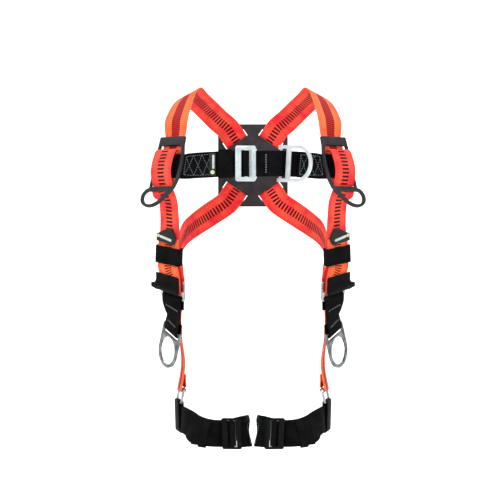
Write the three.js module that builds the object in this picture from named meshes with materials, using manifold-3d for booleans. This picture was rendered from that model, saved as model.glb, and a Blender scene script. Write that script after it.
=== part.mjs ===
// Full-body safety harness in its worn position, in millimetres, +Z up.
// The wearer faces -Y and the wearer's right side is at -X.
// The origin is midway between the two places where the shoulder straps rest on the wearer's shoulders.
import * as THREE from "three";
import * as BufferGeometryUtils from "three/addons/utils/BufferGeometryUtils.js";
import Module from "manifold-3d";

const wasm = await Module();
wasm.setup();

// Driving dimensions.
const WEBBING_WIDTH = 45;
const WEBBING_THICKNESS = 2;
const RIBBON_STEP = 14;
const BAR_RADIUS = 2.8;
const FOLD_RADIUS = BAR_RADIUS + 0.4 + WEBBING_THICKNESS / 2;
const FOLD_STEPS = 6;
const CURVE_SEGMENTS = 8;

// Rings: a bar that the webbing hides, a bar that shows, and an eye, stamped in one plate.
// The side rings have a round eye; the other two have a D-shaped one.
const RING_THICKNESS = 3.8;
const RING_BAR_HALF_HEIGHT = 1.9;
const SIDE_RING = { radius: 31.5, rim: 6.5, centreDrop: 39, armTop: 5.5, slotBottom: -9.5 };
const CHEST_RING = { radius: 32, rim: 6, centreDrop: 41, armTop: 5.5, slotBottom: -14, eyeTop: -22.5 };
const DORSAL_RING = { radius: 42.5, rim: 5.5, centreDrop: 50, armTop: 4.4, slotBottom: -19, eyeTop: -26 };

// Lanyard keeper: a trapezoid frame that the strap weaves through, with an open loop below it.
const KEEPER_THICKNESS = 5;
const KEEPER_STRAP_DEPTH = 6.6;
const KEEPER_LEAF_DEPTH = 4.1;
const KEEPER_BACK_LEAF_DEPTH = 9.1;

// Strap end tab and the elastic keeper below it.
const END_TAB_THICKNESS = 6;
const ELASTIC_KEEPER = { halfWidth: 26, halfDepth: 7.2, wall: 1.8, height: 31 };

// Torso adjuster.
const ADJUSTER_THICKNESS = 3;
const ADJUSTER_LOWER_BAR_DROP = -18;
const GRIP_WIDTH = 53;

// Hip ring.
const HIP_RING = { halfWidth: 28, halfHeight: 13.5, rim: 4, thickness: 4 };

// Chest and leg buckles: a three-bar plate, the link behind it, and the elastic sleeve beside it.
const CHEST_BUCKLE_PLATE = { halfHeight: 31, corner: 4 };
const LEG_BUCKLE_PLATE = { halfHeight: 27.5, corner: 3 };
const BUCKLE_PLATE_THICKNESS = 3.2;
const BUCKLE_LINK_THICKNESS = 3.2;
const LINK_PIVOT = [-13.5, 4.8];
const LINK_TILT = 0.08;
const LINK_FOLD = [16.4, 7.2];
const SLEEVE = { halfHeight: 25.4, halfDepth: 4.6, faceWall: 1.4, edgeWall: 1.2 };
const CHEST_SLEEVE_LENGTH = 26;
const LEG_KEEPER_LENGTH = 13;

// Chest ring's turn about its bar, and the small tag beside the chest buckle.
const CHEST_RING_LIFT = 0.76;
const CHEST_TAG = { halfWidth: 6, halfHeight: 20, thickness: 1.2 };

// Dorsal plate and its ring.
const DORSAL_CENTRE = [0, 119.5, -125];
const DORSAL_PLATE = { halfWidth: 66, halfHeight: 78, corner: 22, thickness: 3 };
const DORSAL_STRAP_ANGLE = 0.6;
const DORSAL_SLOT = { distance: 60, halfLength: 24, halfWidth: 7 };
const RIGHT_STRAP_LIFT = 13.8;
const LEFT_STRAP_LIFT = 10.8;
const DORSAL_RING_LIFT = 6.8;
const DORSAL_RING_TILT = 0.7;

const COLOURS = {
  orange: 0xff6e3c,
  red: 0xf5402f,
  black: 0x17171a,
  charcoal: 0x3a3b3d,
  elastic: 0x101214,
  zinc: 0xd5dde0,
  steel: 0x8f989c,
  tag: 0x2a2d2c,
};

function vector(values) {
  return new THREE.Vector3(...values);
}

// A frame stands on a piece of the harness: x runs across the strap, y in towards the wearer, z up the strap.
function makeFrame(origin, across, up) {
  const x = vector(across).normalize();
  const z = vector(up).addScaledVector(x, -x.dot(vector(up))).normalize();
  const y = z.clone().cross(x);
  return { origin: vector(origin), x, y, z };
}

function mirrorFrame(frame) {
  return {
    origin: mirrorVector(frame.origin),
    x: mirrorVector(frame.x).negate(),
    y: mirrorVector(frame.y),
    z: mirrorVector(frame.z),
  };
}

function mirrorVector(v) {
  return new THREE.Vector3(-v.x, v.y, v.z);
}

function direction(frame, x, y, z) {
  return new THREE.Vector3()
    .addScaledVector(frame.x, x)
    .addScaledVector(frame.y, y)
    .addScaledVector(frame.z, z);
}

// A point of a strap's route, given in a frame, with the direction in which its outer face looks.
function local(frame, position, out = [0, -1, 0]) {
  return { at: direction(frame, ...position).add(frame.origin), out: direction(frame, ...out) };
}

// A point of a strap's route, given in the harness's own axes.
function world(position, out) {
  return { at: vector(position), out: vector(out).normalize() };
}

function mirrorRoute(route) {
  return route.map((point) => ({ at: mirrorVector(point.at), out: mirrorVector(point.out) }));
}

// Webbing bent round a bar that runs along the frame's x. Angles are from +y towards +z, in radians.
function fold(frame, x, y, z, radius, from, to, facing) {
  const points = [];
  for (let step = 0; step <= FOLD_STEPS; step += 1) {
    const angle = from + ((to - from) * step) / FOLD_STEPS;
    const radial = [0, Math.cos(angle), Math.sin(angle)];
    const position = [x, y + radius * radial[1], z + radius * radial[2]];
    points.push(local(frame, position, radial.map((value) => value * facing)));
  }
  return points;
}

// A flat strap of constant section swept along a route.
function ribbon(route, width = WEBBING_WIDTH, thickness = WEBBING_THICKNESS) {
  const path = new THREE.CatmullRomCurve3(route.map((point) => point.at), false, "centripetal");
  const parameters = [];
  for (let index = 0; index < route.length - 1; index += 1) {
    const length = route[index].at.distanceTo(route[index + 1].at);
    const steps = Math.max(1, Math.round(length / RIBBON_STEP));
    for (let step = 0; step < steps; step += 1) {
      parameters.push(index + step / steps);
    }
  }
  parameters.push(route.length - 1);
  const corners = [];
  for (const parameter of parameters) {
    const t = parameter / (route.length - 1);
    const index = Math.min(Math.floor(parameter), route.length - 2);
    const out = route[index].out.clone().lerp(route[index + 1].out, parameter - index);
    const centre = path.getPoint(t);
    const tangent = path.getTangent(t);
    const across = tangent.clone().cross(out).normalize();
    const normal = across.clone().cross(tangent).normalize();
    for (const [a, n] of [[-1, -1], [1, -1], [1, 1], [-1, 1]]) {
      corners.push(
        centre.clone().addScaledVector(across, (a * width) / 2).addScaledVector(normal, (n * thickness) / 2),
      );
    }
  }
  return sweptSolid(corners, 4);
}

// Joins rings of corners, one ring after another, into a closed solid with a flat cap at each end.
function sweptSolid(corners, sides) {
  const rings = corners.length / sides;
  const triangles = [];
  for (let ring = 0; ring < rings - 1; ring += 1) {
    for (let side = 0; side < sides; side += 1) {
      const a = ring * sides + side;
      const b = ring * sides + ((side + 1) % sides);
      triangles.push([a, b, b + sides], [a, b + sides, a + sides]);
    }
  }
  const last = (rings - 1) * sides;
  for (let side = 1; side < sides - 1; side += 1) {
    triangles.push([0, side + 1, side], [last, last + side, last + side + 1]);
  }
  let volume = 0;
  for (const [a, b, c] of triangles) {
    volume += corners[a].dot(corners[b].clone().cross(corners[c]));
  }
  const index = triangles.flatMap((triangle) => (volume < 0 ? triangle.reverse() : triangle));
  const geometry = new THREE.BufferGeometry().setFromPoints(corners);
  geometry.setIndex(index);
  return geometry;
}

function mirrorGeometry(geometry) {
  const mirrored = geometry.index ? geometry.clone() : BufferGeometryUtils.mergeVertices(geometry.clone());
  mirrored.scale(-1, 1, 1);
  const { array } = mirrored.index;
  for (let index = 0; index < array.length; index += 3) {
    [array[index], array[index + 1]] = [array[index + 1], array[index]];
  }
  return mirrored;
}

// A plate whose outline is drawn in a frame's x and z, with its thickness centred on the frame's y = 0.
function plate(shape, thickness) {
  const geometry = new THREE.ExtrudeGeometry(shape, {
    depth: thickness,
    bevelEnabled: false,
    curveSegments: CURVE_SEGMENTS,
  });
  geometry.rotateX(Math.PI / 2);
  geometry.translate(0, thickness / 2, 0);
  return geometry;
}

// A profile drawn in a frame's y and z, drawn out along its x from x = 0.
function acrossStrap(profile, length) {
  const geometry = new THREE.ExtrudeGeometry(profile, {
    depth: length,
    bevelEnabled: false,
    curveSegments: CURVE_SEGMENTS / 2,
  });
  return geometry.applyMatrix4(new THREE.Matrix4().makeBasis(
    new THREE.Vector3(0, 1, 0),
    new THREE.Vector3(0, 0, 1),
    new THREE.Vector3(1, 0, 0),
  ));
}

function roundedRectangle(PathClass, left, right, bottom, top, radius) {
  const path = new PathClass();
  path.moveTo(left + radius, bottom);
  path.lineTo(right - radius, bottom);
  path.absarc(right - radius, bottom + radius, radius, -Math.PI / 2, 0);
  path.lineTo(right, top - radius);
  path.absarc(right - radius, top - radius, radius, 0, Math.PI / 2);
  path.lineTo(left + radius, top);
  path.absarc(left + radius, top - radius, radius, Math.PI / 2, Math.PI);
  path.lineTo(left, bottom + radius);
  path.absarc(left + radius, bottom + radius, radius, Math.PI, 1.5 * Math.PI);
  return path;
}

function outline(PathClass, points) {
  const path = new PathClass();
  path.moveTo(...points[0]);
  for (const point of points.slice(1)) {
    path.lineTo(...point);
  }
  path.closePath();
  return path;
}

function toSolid(geometry) {
  const source = geometry.clone();
  source.deleteAttribute("normal");
  source.deleteAttribute("uv");
  const merged = BufferGeometryUtils.mergeVertices(source, 1e-4);
  return new wasm.Manifold(new wasm.Mesh({
    numProp: 3,
    vertProperties: new Float32Array(merged.attributes.position.array),
    triVerts: new Uint32Array(merged.index.array),
  }));
}

function fromSolid(solid) {
  const { vertProperties, triVerts } = solid.getMesh();
  const geometry = new THREE.BufferGeometry();
  geometry.setAttribute("position", new THREE.BufferAttribute(new Float32Array(vertProperties), 3));
  geometry.setIndex(new THREE.BufferAttribute(new Uint32Array(triVerts), 1));
  return geometry;
}

function union(...geometries) {
  return fromSolid(geometries.map(toSolid).reduce((sum, solid) => sum.add(solid)));
}

function webbingMaterial(colour) {
  return new THREE.MeshStandardMaterial({ color: colour, roughness: 0.85, metalness: 0 });
}

function plasticMaterial(colour) {
  return new THREE.MeshStandardMaterial({ color: colour, roughness: 0.55, metalness: 0 });
}

function metalMaterial(colour) {
  return new THREE.MeshStandardMaterial({ color: colour, roughness: 0.3, metalness: 1 });
}

const harness = new THREE.Group();

function addPiece(name, geometry, material) {
  const mesh = new THREE.Mesh(geometry, material);
  mesh.name = name;
  harness.add(mesh);
}

// Hardware is drawn in its frame's own axes and put in place by a group with that frame's position and turn.
function addHardware(frame, name, geometry, material) {
  const stand = new THREE.Group();
  stand.position.copy(frame.origin);
  stand.quaternion.setFromRotationMatrix(new THREE.Matrix4().makeBasis(frame.x, frame.y, frame.z));
  const mesh = new THREE.Mesh(geometry, material);
  mesh.name = name;
  stand.add(mesh);
  harness.add(stand);
}

function addStrapPair(name, route, width, material) {
  addPiece(`${name}_right`, ribbon(route, width), material);
  addPiece(`${name}_left`, ribbon(mirrorRoute(route), width), material);
}

function addHardwarePair(name, frame, geometry, material) {
  addHardware(frame, `${name}_right`, geometry, material);
  addHardware(mirrorFrame(frame), `${name}_left`, mirrorGeometry(geometry), material);
}

// Frames of the right-hand side, from the shoulder down.
const keeperFrame = makeFrame([-152, -98, -136], [0.81, -0.586, 0], [0.207, 0.285, 0.936]);
const elasticFrame = makeFrame([-149, -76, -294], [0.85, -0.5, -0.17], [0.031, -0.242, 0.97]);
const adjusterFrame = makeFrame([-144, -64, -351], [0.76, -0.61, -0.22], [0.02, -0.36, 0.93]);
const sideRingFrame = makeFrame([-145, -42, -430], [0.507, -0.77, -0.387], [0.213, -0.323, 0.922]);
const hipFrame = makeFrame([-132.4, 5, -550], [0.19, -0.98, 0], [0.2, 0.02, 0.98]);
const legKeeperFrame = makeFrame([-88, -93, -606.5], [0.94, -0.33, -0.09], [0.1, 0.45, 0.88]);
const legBuckleFrame = makeFrame([-37, -91, -609], [0.93, 0.36, -0.05], [0.12, 0.3, 0.94]);
const hipLoopFrame = makeFrame([-134.7, 4.8, -561.3], [0.19, -0.98, 0], [-0.03, 0, 1]);
const tabFrame = makeFrame([-151.2, -90, -260.7], [0.85, -0.5, -0.17], [0.031, -0.242, 0.97]);

// Frames of the middle.
const chestFrame = makeFrame([-12.2, -132, -134.5], [1, 0, 0], [0, 0, 1]);
const chestRingFrame = makeFrame([48, -129.5, -134.5], [0.05, 0, 1], [-0.72, 0.69, -0.06]);
const tagFrame = makeFrame([-71, -128.6, -136], [1, -0.1, 0], [0, 0, 1]);
const dorsalFrame = makeFrame(DORSAL_CENTRE, [-1, 0, 0], [0, 0, 1]);
const dorsalRingFrame = makeFrame(
  [DORSAL_CENTRE[0], DORSAL_CENTRE[1] + DORSAL_RING_LIFT, DORSAL_CENTRE[2]],
  [-1, 0, 0],
  [0, -Math.sin(DORSAL_RING_TILT), Math.cos(DORSAL_RING_TILT)],
);

function keeperGeometry() {
  const shape = new THREE.Shape();
  shape.moveTo(-27.5, 54);
  shape.lineTo(-28, 0);
  shape.lineTo(-26, -43);
  shape.splineThru([
    [-34, -47], [-40, -57], [-38, -69], [-29, -77], [-16, -79], [-3, -75], [10, -65], [22, -52], [29, -42],
  ].map((point) => new THREE.Vector2(...point)));
  shape.lineTo(34, -25);
  shape.lineTo(34.5, 0);
  shape.lineTo(32.5, 22);
  shape.lineTo(28.5, 38);
  shape.lineTo(27.5, 54);
  shape.closePath();
  shape.holes.push(outline(THREE.Path, [
    [-23.3, 38], [-23.3, 0], [-22.8, -41.5], [24.5, -41.5], [29.2, -25], [29.8, 0], [28, 20], [23.6, 38],
  ]));
  const loopHole = new THREE.Path();
  loopHole.moveTo(-27, -49);
  loopHole.splineThru([
    [-33, -53], [-35, -61], [-31, -69], [-23, -73.5], [-13, -73.5], [-3, -69], [7, -60], [15, -49],
  ].map((point) => new THREE.Vector2(...point)));
  loopHole.closePath();
  shape.holes.push(loopHole);
  return plate(shape, KEEPER_THICKNESS);
}

function elasticKeeperGeometry() {
  const { halfWidth, halfDepth, wall, height } = ELASTIC_KEEPER;
  const insideWidth = halfWidth - wall;
  const insideDepth = halfDepth - wall;
  const shape = roundedRectangle(THREE.Shape, -halfWidth, halfWidth, -halfDepth, halfDepth, 3.5);
  shape.holes.push(roundedRectangle(THREE.Path, -insideWidth, insideWidth, -insideDepth, insideDepth, 2.2));
  const geometry = new THREE.ExtrudeGeometry(shape, {
    depth: height,
    bevelEnabled: false,
    curveSegments: CURVE_SEGMENTS / 2,
  });
  return geometry.translate(0, 0, -height / 2);
}

function adjusterFrameGeometry() {
  const shape = roundedRectangle(THREE.Shape, -27, 30, -20.5, 16, 4);
  shape.holes.push(roundedRectangle(THREE.Path, -22, 25, -16, -2, 1.5));
  shape.holes.push(roundedRectangle(THREE.Path, -22, 25, 2, 12.5, 1.5));
  return plate(shape, ADJUSTER_THICKNESS);
}

function adjusterGripGeometry() {
  const profile = outline(THREE.Shape, [
    [-6.2, 8.5], [-6.2, -4], [-9, -8], [-13, -6], [-15, 0], [-14, 6], [-11, 9.5], [-10, 12],
    [-10, 24], [-8.6, 25], [-7.2, 24], [-7, 12],
  ]);
  const grip = acrossStrap(profile, GRIP_WIDTH).translate(-30, 0, 0);
  const wing = plate(outline(THREE.Shape, [[-40, -4], [-26, -7], [-26, 7], [-40, 3]]), 5);
  wing.translate(0, -10.2, 0);
  return union(grip, wing);
}

// The ring's top edge carries two short arms; the webbing folds round the bar between them.
function ringGeometry(ring) {
  const { radius, rim, centreDrop, armTop, slotBottom } = ring;
  const inside = radius - rim;
  const shape = new THREE.Shape();
  shape.moveTo(-radius, armTop);
  shape.lineTo(-radius, -centreDrop);
  shape.absarc(0, -centreDrop, radius, Math.PI, 2 * Math.PI);
  shape.lineTo(radius, armTop);
  shape.lineTo(inside, armTop);
  shape.lineTo(inside, RING_BAR_HALF_HEIGHT);
  shape.lineTo(-inside, RING_BAR_HALF_HEIGHT);
  shape.lineTo(-inside, armTop);
  shape.closePath();
  shape.holes.push(roundedRectangle(THREE.Path, -inside, inside, slotBottom, -RING_BAR_HALF_HEIGHT, 0.8));
  shape.holes.push(ringEye(ring, inside));
  return plate(shape, RING_THICKNESS);
}

// A full circle, or a D with its flat side up where the ring states the height of that side.
function ringEye({ centreDrop, eyeTop }, inside) {
  const eye = new THREE.Path();
  if (eyeTop === undefined) {
    eye.absarc(0, -centreDrop, inside, 0, 2 * Math.PI);
    return eye;
  }
  eye.moveTo(-inside, eyeTop);
  eye.lineTo(-inside, -centreDrop);
  eye.absarc(0, -centreDrop, inside, Math.PI, 2 * Math.PI);
  eye.lineTo(inside, eyeTop);
  eye.closePath();
  return eye;
}

function hipRingGeometry() {
  const { halfWidth, halfHeight, rim, thickness } = HIP_RING;
  const insideWidth = halfWidth - rim;
  const insideHeight = halfHeight - rim;
  const shape = roundedRectangle(THREE.Shape, -halfWidth, halfWidth, -halfHeight, halfHeight, 5);
  shape.holes.push(roundedRectangle(THREE.Path, -insideWidth, insideWidth, -insideHeight, insideHeight, 2.5));
  return plate(shape, thickness);
}

function slottedPlateGeometry(outer, slots, radius, thickness) {
  const shape = roundedRectangle(THREE.Shape, ...outer, radius);
  for (const slot of slots) {
    shape.holes.push(roundedRectangle(THREE.Path, ...slot, 1.2));
  }
  return plate(shape, thickness);
}

function endTabGeometry() {
  const corners = [[-22, -10.5], [14, -14], [18.5, -2.5], [9, 14.8], [-1, 13.5], [-22, 2.2]];
  return plate(outline(THREE.Shape, corners), END_TAB_THICKNESS);
}

// The four corners of one slot of the dorsal plate, square to the strap that passes through it.
function dorsalSlot(acrossSign, upSign) {
  const { distance, halfLength, halfWidth } = DORSAL_SLOT;
  const angle = DORSAL_STRAP_ANGLE;
  const centreX = acrossSign * distance * Math.sin(angle);
  const centreZ = upSign * distance * Math.cos(angle);
  const along = [Math.cos(angle), acrossSign * upSign * -Math.sin(angle)];
  const normal = [-along[1], along[0]];
  return [[-1, -1], [1, -1], [1, 1], [-1, 1]].map(([a, n]) => [
    centreX + a * halfLength * along[0] + n * halfWidth * normal[0],
    centreZ + a * halfLength * along[1] + n * halfWidth * normal[1],
  ]);
}

function dorsalPlateGeometry() {
  const { halfWidth, halfHeight, corner, thickness } = DORSAL_PLATE;
  const shape = roundedRectangle(THREE.Shape, -halfWidth, halfWidth, -halfHeight, halfHeight, corner);
  for (const acrossSign of [-1, 1]) {
    for (const upSign of [-1, 1]) {
      shape.holes.push(outline(THREE.Path, dorsalSlot(acrossSign, upSign)));
    }
  }
  return plate(shape, thickness);
}

// The shoulder strap's height above the dorsal plate, by its distance along the strap from the crossing.
function dorsalHeights(lift) {
  return [[-84, -4.2], [-69, -3.7], [-60, 0], [-51, 4.6], [-42, lift], [0, lift], [42, lift],
    [51, 4.6], [60, 0], [69, -3.7], [84, -4.2]];
}

function dorsalCrossing(lift) {
  const sine = Math.sin(DORSAL_STRAP_ANGLE);
  const cosine = Math.cos(DORSAL_STRAP_ANGLE);
  return dorsalHeights(lift).map(([along, height]) => (
    local(dorsalFrame, [-along * sine, -height, -along * cosine])
  ));
}

// From below the lanyard keeper's window, over the shoulder, to just above the dorsal plate.
const shoulderRoute = [
  local(keeperFrame, [0, KEEPER_STRAP_DEPTH, -36]),
  local(keeperFrame, [0, KEEPER_STRAP_DEPTH, 0]),
  local(keeperFrame, [0, KEEPER_STRAP_DEPTH, 30]),
  local(keeperFrame, [0, 5.4, 46]),
  local(keeperFrame, [0, 4.6, 60]),
  world([-136.7, -65, -56], [-0.3, -0.72, 0.62]),
  world([-130.9, -44, -33], [-0.33, -0.505, 0.74]),
  world([-123.5, -22, -13], [-0.4, -0.25, 0.85]),
  world([-113.8, 0, 0], [-0.463, 0, 0.886]),
  world([-102, 38, -9], [-0.42, 0.4, 0.81]),
  world([-84, 76, -24], [-0.28, 0.75, 0.6]),
  world([-64, 103, -42], [-0.1, 0.96, 0.28]),
];

// From below the dorsal plate, round the side and down to the hip ring, drawn for the right-hand side.
const rearRoute = [
  world([-82, 104, -219], [-0.35, 0.93, 0]),
  world([-108, 78, -238], [-0.75, 0.66, 0]),
  world([-126, 40, -256], [-0.95, 0.3, 0]),
  world([-133, 6, -280], [-1, 0, 0]),
  world([-129, -4, -322], [-0.99, -0.1, 0]),
  world([-131, -17, -362], [-0.95, -0.3, -0.06]),
  world([-137.5, -29, -396], [-0.86, -0.45, -0.2]),
  world([-138.5, -29, -424], [-0.86, -0.43, -0.25]),
  world([-131, -5, -454], [-0.97, -0.22, -0.08]),
  world([-127.5, 10, -490], [-0.98, -0.19, 0]),
  local(hipFrame, [0, -4.2, 32]),
  local(hipFrame, [0, -4.2, 18]),
  ...fold(hipFrame, 0, 0, 11.5, FOLD_RADIUS, Math.PI, 2 * Math.PI, 1),
  local(hipFrame, [0, 3.4, 20]),
  local(hipFrame, [0, 0.2, 31]),
  local(hipFrame, [0, -1, 40]),
];

const frontRoute = [
  local(keeperFrame, [0, 0.6, 27]),
  local(keeperFrame, [0, -6, 27.5], [0, -0.4, 0.9]),
  local(keeperFrame, [0, -11.5, 22.5]),
  local(keeperFrame, [0, -13.6, 11]),
  local(keeperFrame, [0, -14, -6]),
  local(keeperFrame, [0, -10, -21]),
  local(keeperFrame, [0, -2, -32]),
  local(keeperFrame, [0, 4.2, -39.5]),
  local(keeperFrame, [0, 4.8, -47]),
  world([-150.4, -101, -197], [-0.64, -0.74, -0.15]),
  world([-147.5, -93, -223], [-0.66, -0.73, -0.15]),
  world([-147, -88, -246], [-0.63, -0.75, -0.18]),
  local(elasticFrame, [0, 1.8, 27]),
  local(elasticFrame, [0, 1.8, 17]),
  local(elasticFrame, [0, 1.8, -17]),
  local(elasticFrame, [0, 1.8, -27]),
  local(adjusterFrame, [1.5, 6.6, 25]),
  local(adjusterFrame, [1.5, 4.2, 8]),
  ...fold(adjusterFrame, 1.5, 0, 0, FOLD_RADIUS, 0, -Math.PI, -1),
  local(adjusterFrame, [1.5, -4.2, 8], [0, 1, 0]),
  local(adjusterFrame, [1.5, -4.2, 25], [0, 1, 0]),
  local(elasticFrame, [0, -1.8, -27], [0, 1, 0]),
  local(elasticFrame, [0, -1.8, -17], [0, 1, 0]),
  local(elasticFrame, [0, -1.8, 17], [0, 1, 0]),
  local(tabFrame, [0, 4.4, -4], [0, 1, 0]),
];

const connectorRoute = [
  local(adjusterFrame, [1.5, 3.4, -40], [0, 1, 0]),
  local(adjusterFrame, [1.5, 4.2, -28], [0, 1, 0]),
  ...fold(adjusterFrame, 1.5, 0, ADJUSTER_LOWER_BAR_DROP, FOLD_RADIUS, 0, Math.PI, 1),
  local(adjusterFrame, [1.5, -4.2, -28]),
  local(sideRingFrame, [0, -4.2, 28]),
  local(sideRingFrame, [0, -4.2, 8]),
  ...fold(sideRingFrame, 0, 0, 0, FOLD_RADIUS, Math.PI, 2 * Math.PI, 1),
  local(sideRingFrame, [0, 4.2, 10], [0, 1, 0]),
  local(sideRingFrame, [0, 3.4, 20], [0, 1, 0]),
];

// The webbing's way round the middle bar of a three-bar buckle plate, seen along the bar: across and in.
const buckleRoll = [
  [[-14, 7.9], [0, -1]],
  [[-8.6, 7.3], [-0.5, -0.87]],
  [[-5.4, 4.4], [-0.9, -0.4]],
  [[-4.7, 1], [-1, 0]],
  [[-4.3, -1.6], [-0.9, -0.4]],
  [[-2.7, -3.1], [-0.4, -0.9]],
  [[0, -3.4], [0, -1]],
  [[2.7, -3.1], [0.4, -0.9]],
  [[4.2, -1.6], [0.9, -0.4]],
  [[4.3, 1.5], [1, 0]],
  [[3.7, 5.2], [0.97, 0.26]],
  [[1.3, 8.8], [0.7, 0.7]],
  [[-3.2, 10.4], [0.1, 1]],
  [[-14, 10.5], [0, 1]],
];

function rollThroughBuckle(frame) {
  return buckleRoll.map(([[x, y], [outX, outY]]) => local(frame, [x, y, 0], [outX, outY, 0]));
}

// A fold round a bar that stands along a buckle frame's z. Angles are from +x towards +y, in radians.
function uprightFold(frame, x, y, radius, from, to, facing) {
  const points = [];
  for (let step = 0; step <= FOLD_STEPS; step += 1) {
    const angle = from + ((to - from) * step) / FOLD_STEPS;
    const [radialX, radialY] = [Math.cos(angle), Math.sin(angle)];
    const position = [x + radius * radialX, y + radius * radialY, 0];
    points.push(local(frame, position, [radialX * facing, radialY * facing, 0]));
  }
  return points;
}

const chestRightRoute = [
  world([-68, -126.6, -135.8], [0, -1, 0]),
  world([-95, -122.2, -137], [-0.1, -1, 0]),
  local(keeperFrame, [37, 5.4, 0]),
  local(keeperFrame, [24, KEEPER_LEAF_DEPTH, 0]),
  local(keeperFrame, [-22, KEEPER_LEAF_DEPTH, 0]),
  ...uprightFold(
    keeperFrame, -25.5, (KEEPER_LEAF_DEPTH + KEEPER_BACK_LEAF_DEPTH) / 2,
    (KEEPER_BACK_LEAF_DEPTH - KEEPER_LEAF_DEPTH) / 2, 1.5 * Math.PI, 0.5 * Math.PI, 1,
  ),
  local(keeperFrame, [-22, KEEPER_BACK_LEAF_DEPTH, 0], [0, 1, 0]),
  local(keeperFrame, [24, KEEPER_BACK_LEAF_DEPTH, 0], [0, 1, 0]),
  world([-112, -112.6, -138], [0.3, 0.95, 0]),
  world([-95, -118.6, -137], [0.2, 1, 0]),
  world([-72, -122.6, -136], [0.1, 1, 0]),
];

const chestBuckleTail = [
  local(chestFrame, [-40, 7.9, 0]),
  ...rollThroughBuckle(chestFrame),
  local(chestFrame, [-44, 10.6, 0], [0, 1, 0]),
];

function turnedOver(route) {
  return route.map((point) => ({ at: point.at, out: point.out.clone().negate() }));
}

const chestCentreRoute = [
  local(chestFrame, [40, 5.4, 0], [0, 1, 0]),
  local(chestFrame, [28, 8.8, 0], [0.2, 1, 0]),
  ...uprightFold(chestFrame, ...LINK_FOLD, FOLD_RADIUS, 0.5 * Math.PI, 1.5 * Math.PI, 1),
  local(chestFrame, [28, 2.8, 0]),
  local(chestFrame, [42, 0.6, 0]),
  ...fold(chestRingFrame, 0, 0, 0, FOLD_RADIUS, Math.PI + CHEST_RING_LIFT, 2 * Math.PI + CHEST_RING_LIFT, 1),
  local(chestFrame, [50, 6.2, 0], [0, 1, 0]),
];

// The left chest strap: from behind the ring, out to the left shoulder strap, round it and back.
const chestLeftRoute = mirrorRoute([
  world([-40, -122.6, -134.5], [0, 1, 0]),
  world([-72, -121.4, -135], [0.1, 1, 0]),
  world([-95, -118, -136.5], [0.2, 1, 0]),
  world([-112, -112.6, -138], [0.3, 0.95, 0]),
  local(keeperFrame, [24, KEEPER_BACK_LEAF_DEPTH, 0], [0, 1, 0]),
  local(keeperFrame, [-22, KEEPER_BACK_LEAF_DEPTH, 0], [0, 1, 0]),
  ...uprightFold(
    keeperFrame, -25.5, (KEEPER_LEAF_DEPTH + KEEPER_BACK_LEAF_DEPTH) / 2,
    (KEEPER_BACK_LEAF_DEPTH - KEEPER_LEAF_DEPTH) / 2, 0.5 * Math.PI, 1.5 * Math.PI, 1,
  ),
  local(keeperFrame, [-22, KEEPER_LEAF_DEPTH, 0]),
  local(keeperFrame, [24, KEEPER_LEAF_DEPTH, 0]),
  world([-95, -121.6, -136.8], [-0.1, -1, 0]),
  world([-78, -123.8, -135.8], [0, -1, 0]),
]);

// The straight stretch of the leg strap inside its elastic keeper, at a depth behind that frame's origin.
function legKeeperPass(depth) {
  return [-11, -4, 4, 11].map((along) => local(legKeeperFrame, [along, depth, 0]));
}

// From the tail sewn behind the link, round the thigh, through the hip loop and back through the buckle.
const legStrapRoute = [
  local(legBuckleFrame, [30, 12, 0], [0, 1, 0]),
  local(legBuckleFrame, [24, 11.4, 0], [0, 1, 0]),
  ...uprightFold(legBuckleFrame, ...LINK_FOLD, FOLD_RADIUS, 0.5 * Math.PI, 1.5 * Math.PI, 1),
  local(legBuckleFrame, [25, 3, 0]),
  local(legBuckleFrame, [33, 5.5, 0], [0.4, -0.9, 0]),
  world([-8.4, -52, -609], [0.98, -0.1, -0.1]),
  world([-8, -15, -608], [1, 0, 0]),
  world([-9, 15, -609], [1, 0, 0]),
  world([-14, 45, -613], [0.92, 0.38, 0.1]),
  world([-36, 75, -620], [0.4, 0.9, 0.3]),
  world([-68, 86, -623], [-0.1, 1, 0.4]),
  world([-102, 68, -616], [-0.65, 0.75, 0.35]),
  world([-130.5, 45, -597], [-0.93, 0.35, 0.12]),
  local(hipLoopFrame, [-23, 0, -26.6]),
  local(hipLoopFrame, [23, 0, -26.6]),
  world([-124, -42, -589.5], [-0.88, -0.4, 0.2]),
  world([-109, -66, -596.5], [-0.66, -0.66, 0.3]),
  ...legKeeperPass(4.4),
  local(legBuckleFrame, [-26, 7.9, 0]),
  ...rollThroughBuckle(legBuckleFrame),
  local(legBuckleFrame, [-26, 10.7, 0], [0, 1, 0]),
  ...turnedOver(legKeeperPass(7.1)).reverse(),
  local(legKeeperFrame, [-20, 7.1, 0], [0, 1, 0]),
];

// A flat tube of elastic round two layers of webbing that run along a buckle frame's x.
function buckleSleeveGeometry(length) {
  const { halfHeight, halfDepth, faceWall, edgeWall } = SLEEVE;
  const insideDepth = halfDepth - faceWall;
  const insideHeight = halfHeight - edgeWall;
  const shape = roundedRectangle(THREE.Shape, -halfDepth, halfDepth, -halfHeight, halfHeight, 2);
  shape.holes.push(roundedRectangle(THREE.Path, -insideDepth, insideDepth, -insideHeight, insideHeight, 1));
  return acrossStrap(shape, length);
}

function hipLoopGeometry() {
  const shape = roundedRectangle(THREE.Shape, -5.2, 5.2, -55, 5.2, 5);
  shape.holes.push(roundedRectangle(THREE.Path, -3.2, 3.2, -53, 3.2, 3));
  return acrossStrap(shape, WEBBING_WIDTH).translate(-WEBBING_WIDTH / 2, 0, 0);
}

function bucklePlateGeometry({ halfHeight, corner }) {
  const slotHalfHeight = WEBBING_WIDTH / 2 + 1.2;
  return slottedPlateGeometry(
    [-18.8, 16.9, -halfHeight, halfHeight],
    [[-8.7, -2.75, -slotHalfHeight, slotHalfHeight], [2.75, 9.2, -slotHalfHeight, slotHalfHeight]],
    corner,
    BUCKLE_PLATE_THICKNESS,
  );
}

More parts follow.
